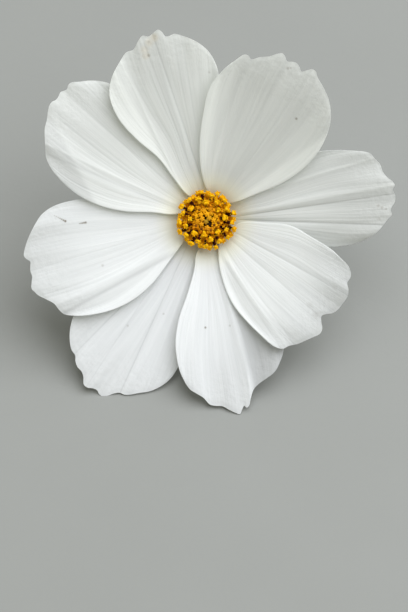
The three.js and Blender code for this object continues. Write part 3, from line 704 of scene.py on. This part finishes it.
def vein_heights(place_across, t, dice):
    """Fine grooves that run from the root to the tip, each wandering a little."""
    total = np.zeros_like(place_across)
    outermost = 0.97
    for i in range(VEINS):
        at = -outermost + 2 * outermost * (i + dice.uniform(0.2, 0.8)) / VEINS
        depth = dice.choice((0.006, 0.01, 0.012, 0.016, 0.036))
        width = dice.uniform(0.012, 0.022)
        wander = 0.012 * np.sin(dice.uniform(2, 6) * t + dice.uniform(0, 6))
        start = dice.uniform(0.0, 0.25)
        groove = depth * np.exp(-(((place_across - at - wander) / width) ** 2))
        total -= groove * smoothstep(t, start, start + 0.25)
    return total


def petal_heights(petal, plan, place_across, t, dice):
    radius = np.hypot(plan[..., 0], plan[..., 1])
    out = np.maximum(0, radius - CLAW_RADIUS)
    height = CUP_ROOT + CUP_STEP * (1 - np.exp(-out / CUP_REACH)) + CUP_SLOPE * out
    height += petal["seat"] * smoothstep(radius, *SEAT_SPAN)
    height += petal["rise"] * np.maximum(0, (radius - RISE_START) / RISE_LENGTH) ** 2
    lift = np.where(place_across < 0, petal["edges"][0], petal["edges"][1])
    height += lift * place_across**2 * smoothstep(radius, *LIFT_SPAN)
    height += fold_heights(petal["folds"], place_across) * smoothstep(t, 0.1, 0.5)
    height += bend_heights(petal["bends"], plan) * smoothstep(radius, *BEND_FADE)
    height += crease_heights(petal["creases"], plan) * smoothstep(t, 0.0, 0.15) * (1 - 0.6 * t)
    height -= petal["droop"][1] * (np.maximum(0, plan[..., 1] - petal["droop"][0]) / 10) ** 2
    wave = np.sin(place_across * dice.uniform(7, 9) + dice.uniform(0, 6))
    wave += 0.6 * np.sin(place_across * dice.uniform(13, 16) + dice.uniform(0, 6))
    height += 0.7 * petal["ruffle"] * wave * smoothstep(t, 0.66, 1.0)
    height += vein_heights(place_across, t, dice)
    return height, radius


def ray_floret(petal, number):
    dice = random.Random(PETAL_SEED + number)
    plan, place_across, t = petal_plan(petal)
    height, radius = petal_heights(petal, plan, place_across, t, dice)
    turn = math.radians(petal["azimuth"]) - math.pi / 2
    x = plan[..., 0] * math.cos(turn) - plan[..., 1] * math.sin(turn)
    y = plan[..., 0] * math.sin(turn) + plan[..., 1] * math.cos(turn)
    middle = np.stack([x, y, height], -1)
    inset = np.minimum(1 - np.abs(place_across), (1 - t) * 1.5)
    half = PETAL_THICKNESS / 2 * (0.3 + 0.7 * smoothstep(inset, 0.0, 0.05))
    offset = normals_of(middle) * half[..., None]
    points, faces = sheet(middle + offset, middle - offset)
    grown = np.stack([place_across, radius, t], -1).reshape(-1, 3)
    shape = Shape()
    shape.add(points, faces, notes=np.vstack([grown, grown]))
    skin = petal_finish(petal, number)
    made = shape.piece(f"petal_{number}", [skin], f"ray_floret_{number}")
    flat = np.concatenate([plan, np.zeros_like(plan[..., :1])], -1).reshape(-1, 3)
    note = made.data.attributes.new("flat", "FLOAT_VECTOR", "POINT")
    note.data.foreach_set("vector", np.vstack([flat, flat]).astype(np.float32).ravel())


# --- Disc ---

def floret_axis(k, root, lean, reach, droop):
    """The line a floret follows: its root, its mouth half way along, and its tip."""
    share = math.sqrt((k + 0.5) / FLORETS)
    turn = k * GOLDEN_ANGLE + DISC_TURNED
    height = DISC_HEIGHT - DISC_DOME * share**2

    def at(radius, z):
        return [radius * math.cos(turn), radius * math.sin(turn), z]

    tip_radius = DISC_RADIUS * share + lean * smoothstep(share, *LEAN_SPAN)
    return spline([
        at(root * share, RECEPTACLE_APEX + 0.2 - 0.5 * share**2),
        at(DISC_RADIUS * share, height),
        at(tip_radius, height + reach - droop * share**2),
    ], MOUTH)


def lobed(sides):
    """One in the middle of each of the five lobes, nought between them."""
    angle = np.arange(sides) * 2 * math.pi / sides
    return 0.5 + 0.5 * np.cos(LOBES * angle)


def corolla(axis, spread, dice):
    """The tube and its five spread lobes, then back down inside the throat."""
    sides = 40
    lobe = lobed(sides) ** 1.5
    even = np.ones(sides)
    lengths = np.repeat([dice.uniform(0.75, 1.2) for _ in range(LOBES)], sides // LOBES)
    lengths = np.roll(lengths, -sides // (2 * LOBES))
    tube = (
        (0.2, 0.0), (0.3, 0.03), (0.28, 0.16), (0.22, 0.2), (0.26, 0.32), (0.36, 0.45), (0.42, 0.51),
    )
    rings = [(even * r, even * h) for r, h in tube]

    def flare(q, inside):
        radius = 0.44 + (0.08 + 0.8 * spread * lobe * lengths) * q - inside * 0.05
        height = 0.54 + (0.015 + 0.09 * lobe) * q - 0.07 * lobe * spread * q * q
        return radius, height + inside * 0.014

    rings += [flare(q, 0) for q in (0.0, 0.3, 0.6, 0.85, 1.0)]
    rings += [flare(q, 1) for q in (0.95, 0.7, 0.4, 0.1)]
    rings += [(even * 0.34, even * 0.53), (even * 0.28, even * 0.47)]
    return turned(axis, rings, sides)


def anther_column(axis, dice):
    """Five anthers joined into a ridged dark tube, narrow at the mouth."""
    sides = 20
    ridges = 1 + 0.14 * (lobed(sides) - 0.5)
    profile = (
        (0.14, 0.48), (0.22, 0.54), (0.31, 0.6), (0.35, 0.67), (0.34, 0.77), (0.27, 0.86),
        (0.12, 0.9),
    )
    swell = dice.uniform(0.9, 1.1)
    return turned(axis, [(ridges * r * swell, h) for r, h in profile], sides)


def pollen_clump(axis, dice, size, middle):
    """A rough star of pollen round the stigma, with its middle at a share of the axis."""
    sides, rows = 20, 10
    reach = 0.36 * size / np.linalg.norm(axis[-1] - axis[MOUTH])
    angle = np.arange(sides) * 2 * math.pi / sides
    lean, turn = dice.uniform(0, 6), dice.uniform(0, 6)
    star = 0.3 * np.cos(dice.choice((3, 4, 5)) * angle + turn) + 0.12 * np.cos(2 * angle + lean)
    rings = []
    for i in range(rows):
        polar = math.pi * (i + 0.5) / rows
        rough = 1 + star * math.sin(polar) + np.array([dice.uniform(-0.1, 0.1) for _ in range(sides)])
        tipped = 0.25 * reach * np.cos(angle + lean) * math.sin(polar)
        rings.append((size * math.sin(polar) * rough, middle - reach * math.cos(polar) + tipped))
    return turned(axis, rings, sides)


def pollen_grain(middle, size):
    """A small lump of pollen."""
    axis = np.array([middle - [0, 0, size], middle, middle + [0, 0, size]])
    rows = 4
    polar = [math.pi * (i + 0.5) / rows for i in range(rows)]
    rings = [(size * math.sin(p), 0.5 - 0.5 * math.cos(p)) for p in polar]
    return turned(axis, rings, 7)


def stigma_arm(tip, outward, upward, sideways, size):
    """One of the two arms of the style, curling back."""
    path = []
    for u in np.linspace(0, 1, 7):
        swing = sideways * math.sin(u * 2.2) * size
        lift = upward * (0.15 + 0.38 * size * math.sin(u * 2.6))
        path.append(tip + lift + swing + outward * 0.1 * u)
    rings = [(0.14, 0.0), (0.17, 0.3), (0.15, 0.7), (0.07, 1.0)]
    return turned(np.array(path), rings, 8, (0.3, 0.5, 0.81))


def chaff_scale(axis, turn, reach, widest):
    """A thin pointed scale that stands on a floret's outer side, up to a share of the way
    from the floret's mouth to its tip."""
    across, t = np.meshgrid(np.linspace(-1, 1, 9), np.linspace(0, 1, 17))
    path = along_curve(axis[: MOUTH + 1 + round(MOUTH * reach)], t[:, 0])
    outward = np.array([math.cos(turn), math.sin(turn), 0.0])
    aside = np.array([-math.sin(turn), math.cos(turn), 0.0])
    half_width = widest * np.sin(math.pi * (0.15 + 0.83 * t)) ** 0.8
    bulge = (0.45 + 0.1 * t**3 - 0.14 * across**2)[..., None]
    middle = path[:, None] + outward * bulge + aside * (across * half_width)[..., None]
    offset = normals_of(middle) * 0.03
    return sheet(middle + offset, middle - offset)


# The materials of an open floret, in order
TUBE, ANTHER, POLLEN, CHAFF, DUSTED_ANTHER = range(5)


def disc_floret(number, materials):
    """An open floret. Those past the CAD model's own stand lower, round the rim."""
    k = FLORETS - OPEN_FLORETS + number - 1
    dice = random.Random(FLORET_SEED + number)
    share = math.sqrt((k + 0.5) / FLORETS)
    turn = k * GOLDEN_ANGLE + DISC_TURNED
    rim = number > OPEN_FLORETS
    axis = floret_axis(k, **(RIM if rim else OPEN))
    shape = Shape()
    spread = dice.uniform(0.85, 1.15) * (1.3 if rim else 1)
    shape.add(*corolla(axis, spread, dice), finish=TUBE)
    dusted = smoothstep(math.cos(turn - DUSTED_SIDE), 0.6, 0.95)
    if not rim:
        column = anther_column(axis, dice)
        shape.add(*column, finish=DUSTED_ANTHER if dusted > dice.uniform(-0.08, 0.8) else ANTHER)
    middle = 0.86 + 0.08 * smoothstep(share, 0.65, 0.85)
    shape.add(*pollen_clump(axis, dice, dice.uniform(0.48, 0.68), middle), finish=POLLEN)
    scales = [(0, 0.75, 1.0, 1.3), (0.22, 0.6, 0.9, 0.9)] if rim else [(0, 0.4, 0.9, 0.8)]
    for aside, shortest, longest, widest in scales:
        scale = chaff_scale(axis, turn + aside, dice.uniform(shortest, longest), widest)
        shape.add(*scale, finish=CHAFF)
    forward = axis[-1] - axis[-4]
    forward /= np.linalg.norm(forward)
    sideways = np.cross(forward, [0, 0, 1.0])
    sideways /= np.linalg.norm(sideways)
    outward = np.cross(sideways, forward)
    for side in (-1, 1):
        arm = stigma_arm(axis[-2], outward * 0.5, forward, sideways * side, 0.34 + 0.12 * share)
        shape.add(*arm, finish=POLLEN)
    for _ in range(round(6 + 24 * dusted)):
        along = axis[MOUTH + dice.randrange(2, 14)]
        angle = dice.uniform(0, 2 * math.pi)
        swing = (math.cos(angle) * sideways + math.sin(angle) * outward) * 0.36
        shape.add(*pollen_grain(along + swing, dice.uniform(0.07, 0.15)), finish=POLLEN)
    node = None if rim else f"disc_floret_{number:02d}"
    shape.piece(f"floret_{number:02d}", materials, node)


def central_buds(skin, anther):
    """The closed buds: domes of five lobes that meet in the middle. A few have started to open round a
    dark anther tip, and one stands lower and narrower and is painted near black all over."""
    shape = Shape()
    sides = 30
    lobe = lobed(sides)
    for k in range(FLORETS - OPEN_FLORETS):
        dice = random.Random(BUD_SEED + k)
        radius = DISC_RADIUS * math.sqrt((k + 0.5) / FLORETS)
        opening = k in OPENING_BUDS
        stand = 0.55 if k == DARK_BUD else dice.uniform(0.82, 1.0)
        wide = 0.8 if k == DARK_BUD else dice.uniform(0.94, 1.06)
        axis = floret_axis(k, **BUDS)
        profile = [(0.3, 0.0), (0.3, 0.3), (0.4, 0.48), (0.56, 0.6), (0.62, 0.72), (0.62, 0.82)]
        if opening:
            profile += [(0.56, 0.9), (0.46, 0.94), (0.38, 0.92), (0.3, 0.84)]
        else:
            profile += [(0.55, 0.9), (0.42, 0.955), (0.25, 0.99), (0.08, 1.0)]
        rings, heights = [], []
        for r, h in profile:
            crease = smoothstep(h, 0.45, 0.7) * (1 - lobe) ** 2
            rings.append((r * wide * (1 - 0.16 * crease), (h - 0.1 * crease * r / 0.4) * stand))
            heights.append(h * (1 - 0.3 * crease))
        points, faces = turned(axis, rings, sides)
        heights = np.concatenate([*heights, [0.0, 0.8 if opening else 1.0]])
        # This bud is painted near black all over
        if k == DARK_BUD:
            heights = heights * 0
        grown = np.stack([np.full(len(points), radius), heights, 0 * heights], -1)
        shape.add(points, faces, notes=grown)
        if opening:
            column = [(0.2, 0.7), (0.28, 0.85), (0.24, 0.93), (0.1, 0.96)]
            shape.add(*turned(axis, column, 12), finish=1)
    foot = np.array([[0, 0, RECEPTACLE_APEX + 0.2], [0, 0, RECEPTACLE_APEX + 1.2]])
    shape.add(*turned(foot, [(1.85, 0.0), (1.9, 0.5), (1.2, 1.0)], 24))
    shape.piece("disc_buds", [skin, anther], "central_buds")


# --- Receptacle, bracts and stem ---

def receptacle(skin, top):
    axis = np.array([[0, 0, 0.0], [0, 0, 1.0]])
    sides = 48
    angle = np.arange(sides) * 2 * math.pi / sides
    ribs = 1 + 0.02 * np.cos(8 * angle)
    shape = Shape()
    points, faces = turned(axis, [(ribs * r, 0.0) for r, _ in RECEPTACLE], sides)
    levels = [z for _, z in RECEPTACLE]
    heights = np.concatenate([np.repeat(levels, sides), [levels[0], RECEPTACLE_APEX]])
    points[:, 2] = heights
    finish = [1 if min(heights[i] for i in face) > RECEPTACLE_SHOULDER else 0 for face in faces]
    shape.add(points, faces, finish=finish)
    shape.piece("receptacle_cone", [skin, top], "receptacle")


def bract(name, node, material, turn, root, tip, bow, half_width, curl, thickness, wave):
    """A narrow leaf from its root to its tip, each given as (distance out, height)."""
    s, t = np.meshgrid(np.linspace(0, 1, 33), np.linspace(0, 1, 41))
    across = 2 * s - 1
    width = half_width * np.sin(math.pi * (0.2 + 0.78 * t)) ** 0.8
    x = across * width
    y = root[0] + (tip[0] - root[0]) * t
    z = root[1] + (tip[1] - root[1]) * t + bow * np.sin(math.pi * t) + curl * across**2
    midrib = 0.12 * np.exp(-((across / 0.12) ** 2)) * (1 - t)
    z = z - midrib + wave * np.sin(7 * t + 2 * across) * across**2
    middle = np.stack([
        x * math.cos(turn) - y * math.sin(turn), x * math.sin(turn) + y * math.cos(turn), z,
    ], -1)
    inset = np.minimum(1 - np.abs(across), np.minimum(t, 1 - t) * 4)
    half = thickness / 2 * (0.35 + 0.65 * smoothstep(inset, 0.0, 0.35))
    offset = normals_of(middle) * half[..., None]
    points, faces = sheet(middle + offset, middle - offset)
    grown = np.stack([across, t, 0 * t], -1).reshape(-1, 3)
    shape = Shape()
    shape.add(points, faces, notes=np.vstack([grown, grown]))
    shape.piece(name, [material], node)


def bracts(papery, green):
    """The papery ones behind the petals, and the green ones behind and between those."""
    apart = 2 * math.pi / len(PETALS)
    for i in range(len(PETALS)):
        turn = i * apart + BRACTS_TURNED - math.pi / 2
        sway = math.sin(i * 2.4)
        bract(
            f"papery_bract_{i + 1}", f"inner_bract_{i + 1}", papery, turn,
            root=(4.5, -3.2), tip=(11.2 + 0.6 * sway, -1.0), bow=-1.0, half_width=2.35,
            curl=0.5, thickness=0.3, wave=0.08,
        )
        bract(
            f"green_bract_{i + 1}", f"outer_bract_{i + 1}", green, turn + apart / 2,
            root=(4.0, -5.6), tip=(14.6 + 1.4 * sway, -6.6 + 1.6 * sway), bow=-0.8,
            half_width=1.35, curl=0.3, thickness=0.36, wave=0.05,
        )


def stem(skin, pith):
    """From the receptacle down to the surface and along it, with a slanted cut."""
    top = place([[0, 0, STEM_TOP]])[0]
    away = np.array([0, math.sin(TILT), -math.cos(TILT)])
    end = np.array([HEAD_CENTRE[0] + STEM_DRIFT, HEAD_CENTRE[1] + STEM_REACH, STEM_RADIUS])
    bend_start, bend_end = top + away * STEM_DOWN, end - STEM_LIES_ALONG * STEM_LEVEL
    u = np.linspace(0, 1, 90)[:, None]
    axis = ((1 - u) ** 3 * top + 3 * (1 - u) ** 2 * u * bend_start
            + 3 * (1 - u) * u**2 * bend_end + u**3 * end)
    sides = 40
    angle = np.arange(sides) * 2 * math.pi / sides
    ridge = 0.5 + 0.5 * np.cos(8 * angle)
    last = 99
    slope = 0.012  # of the cut, as a share of the stem's length
    rings, notes = [], []
    for i in range(last + 1):
        share = i / last
        slant = slope * (1 + np.cos(angle)) * smoothstep(share, 0.97, 1.0)
        neck = NECK_RADIUS + (STEM_RADIUS - NECK_RADIUS) * smoothstep(share, 0.0, 0.13)
        radius = neck * (1 - 0.045 * (1 - ridge))
        rings.append((radius, share - slant))
        notes.append(np.outer(ridge, [1, 0, 0]))
    rings.append((STEM_RADIUS * 0.82, 1.0 - slope * (1 + 0.8 * np.cos(angle))))
    rings.append((STEM_RADIUS * 0.45, 1.0 - slope * (1 + 0.45 * np.cos(angle))))
    notes.append(np.zeros((2 * sides + 2, 3)))
    points, faces = turned(axis, rings, sides, (1.0, 0.0, 0.0))
    # Skin along the stem, pith over the cut, and the two caps' faces in turn
    finish = [0] * (last * sides) + [1] * (2 * sides) + [0, 1] * sides
    shape = Shape()
    shape.add(points, faces, finish=finish, notes=np.vstack(notes))
    shape.piece("cut_stem", [skin, pith], "stem", tilted=False)


# --- The flower ---

for number, petal in enumerate(PETALS, 1):
    ray_floret(petal, number)

tube = speckled("corolla_tube", (0.86, 0.33, 0.002, 1), (1.0, 0.50, 0.004, 1), 900.0,
                specular=0.15, share=0.25)
anther = speckled("anther", (0.010, 0.001, 0.001, 1), (0.045, 0.004, 0.003, 1), 1800.0,
                  roughness=0.7, specular=0.06)
young_anther = speckled("young_anther", (0.10, 0.025, 0.002, 1), (0.36, 0.12, 0.004, 1), 1800.0,
                        roughness=0.7, specular=0.15)
pollen = speckled("pollen", (0.94, 0.42, 0.002, 1), (1.0, 0.60, 0.006, 1), 2200.0,
                  roughness=0.9, bump=0.8, depth=0.0002, specular=0.1)
dusted_anther = speckled("dusted_anther", (0.10, 0.02, 0.002, 1), (0.95, 0.48, 0.004, 1), 1500.0,
                         roughness=0.8, bump=0.8, depth=0.0002, specular=0.1)
chaff = speckled("chaff", (0.80, 0.34, 0.004, 1), (0.96, 0.52, 0.010, 1), 700.0,
                 specular=0.15, share=0.3)
for number in range(1, OPEN_FLORETS + RIM_FLORETS + 1):
    disc_floret(number, [tube, anther, pollen, chaff, dusted_anther])
central_buds(bud_finish(), young_anther)

green = bract_finish("green_bract", (0.10, 0.22, 0.035, 1), (0.20, 0.36, 0.07, 1),
                     margin=(0.30, 0.42, 0.14, 1), share=0.15)
papery = bract_finish("papery_bract", (0.26, 0.20, 0.05, 1), (0.46, 0.42, 0.16, 1),
                      margin=(0.66, 0.64, 0.42, 1), share=0.3)
rind = speckled("receptacle_skin", (0.11, 0.20, 0.035, 1), (0.20, 0.31, 0.07, 1), 500.0)
pith = speckled("stem_pith", (0.42, 0.50, 0.25, 1), (0.68, 0.72, 0.50, 1), 1500.0)
receptacle(rind, chaff)
bracts(papery, green)
stem(stem_finish(), pith)


# --- Studio ---

def studio_floor():
    half = 3.0
    corners = [(-half, -half, 0), (half, -half, 0), (half, half, 0), (-half, half, 0)]
    mesh = bpy.data.meshes.new("studio_floor")
    mesh.from_pydata(corners, [], [(0, 1, 2, 3)])
    f = Finish("pale_floor")
    where = f.node("ShaderNodeTexCoord").outputs["Object"]
    color = f.mix(f.noise(where, 30.0), (0.295, 0.30, 0.285, 1), (0.315, 0.32, 0.305, 1))
    mesh.materials.append(f.surface(color, 0.9, f.bump(f.noise(where, 900.0), 0.1, 0.0002), 0.2))
    floor = bpy.data.objects.new("studio_floor", mesh)
    bpy.context.scene.collection.objects.link(floor)


def area_light(name, where, aim, size, power, color):
    """A round soft lamp. Lengths are in metres, power in watts."""
    data = bpy.data.lights.new(name, "AREA")
    data.shape = "DISK"
    data.size = size
    data.energy = power
    data.color = color
    light = bpy.data.objects.new(name, data)
    light.location = where
    light.rotation_euler = (Vector(aim) - Vector(where)).to_track_quat("-Z", "Y").to_euler()
    bpy.context.scene.collection.objects.link(light)


def studio_lights():
    """A pale, slightly warm surround, and one big cool lamp high on the right."""
    world = bpy.data.worlds.new("studio")
    world.use_nodes = True
    surround = world.node_tree.nodes["Background"]
    surround.inputs["Color"].default_value = (0.93, 0.93, 0.83, 1)
    surround.inputs["Strength"].default_value = 0.5
    bpy.context.scene.world = world
    area_light(
        "key", where=(0.324, 0.061, 0.837), aim=(0, -0.01, 0.02), size=1.4, power=12.6,
        color=(0.925, 0.955, 1.02),
    )


def camera():
    """On the flower's axis, far back, with the flower above the middle of the frame."""
    far = 1.5
    framed = 0.1305  # metres from the frame's top to its bottom, at the flower
    below = 0.0183
    right = -0.0005
    sensor = 36
    data = bpy.data.cameras.new("camera")
    data.sensor_fit = "VERTICAL"
    data.sensor_height = sensor
    data.lens = sensor * far / framed
    data.clip_end = 20
    view = bpy.data.objects.new("camera", data)
    up = Vector((0, math.cos(TILT), math.sin(TILT)))
    back = Vector((0, -math.sin(TILT), math.cos(TILT)))
    view.location = Vector(HEAD_CENTRE * MM) + back * far - up * below + Vector((right, 0, 0))
    view.rotation_euler = (TILT, 0, 0)
    bpy.context.scene.collection.objects.link(view)
    bpy.context.scene.camera = view


studio_floor()
studio_lights()
camera()
bpy.context.scene.view_settings.view_transform = "Standard"
bpy.context.view_layer.update()
